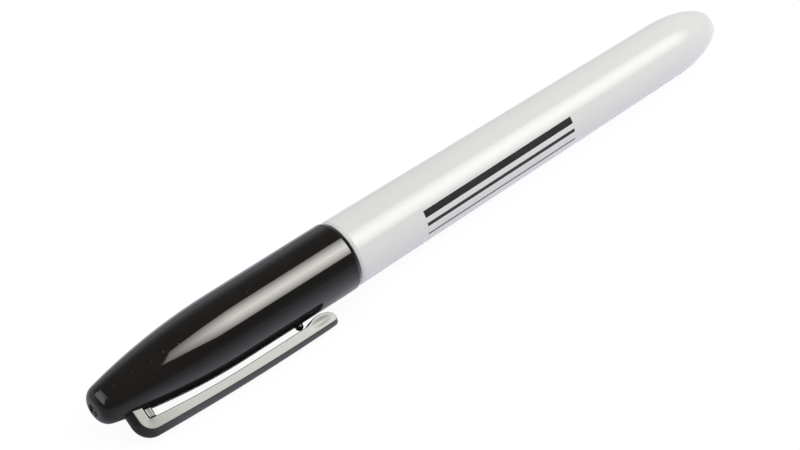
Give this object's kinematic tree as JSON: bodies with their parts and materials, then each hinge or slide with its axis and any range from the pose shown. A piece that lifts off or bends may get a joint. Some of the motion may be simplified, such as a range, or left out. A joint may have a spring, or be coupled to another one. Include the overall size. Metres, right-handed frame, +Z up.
{
  "type": "permanent marker",
  "caption": "Capped permanent marker: pale tapered barrel with a bullet tail, fibre nib and ink rod inside, and a glossy black pull-off cap with a springy pocket clip.",
  "frame": {"origin": "on the surface that the marker lies on, under the centre of its box", "axes": "+X along the marker from the closed end of the cap to the tail, +Z up, the pocket clip towards -Y and resting on the surface"},
  "size_m": [0.137, 0.0146, 0.0125],
  "materials": {
    "cap_black": "glossy moulded black plastic",
    "barrel_pale": "glossy moulded pale grey plastic",
    "section_dark": "satin moulded dark plastic",
    "seal_liner": "soft natural plastic",
    "nib_felt": "bonded fibre soaked with ink",
    "ink_fibre": "fibre wadding soaked with ink",
    "film_clear": "clear film"
  },
  "bodies": {
    "barrel": {"barrel": "barrel_pale", "nib_holder": "section_dark", "nib": "nib_felt", "ink_reservoir": "ink_fibre", "reservoir_film": "film_clear"},
    "cap": {"cap_shell": "cap_black", "cap_seal": "seal_liner"},
    "clip": {"pocket_clip": "cap_black"}
  },
  "joints": [
    {"name": "cap_pull", "type": "slide", "parent": "barrel", "child": "cap", "axis": [-1, 0, 0], "range_m": [0, 0.05]},
    {"name": "clip_flex", "type": "hinge", "parent": "cap", "child": "clip", "pos_m": [-0.06376, -0.00258, 0.00384], "axis": [0, 0.5568, -0.8307], "range_deg": [0, 4], "stiffness_Nm_per_rad": 0.3}
  ]
}
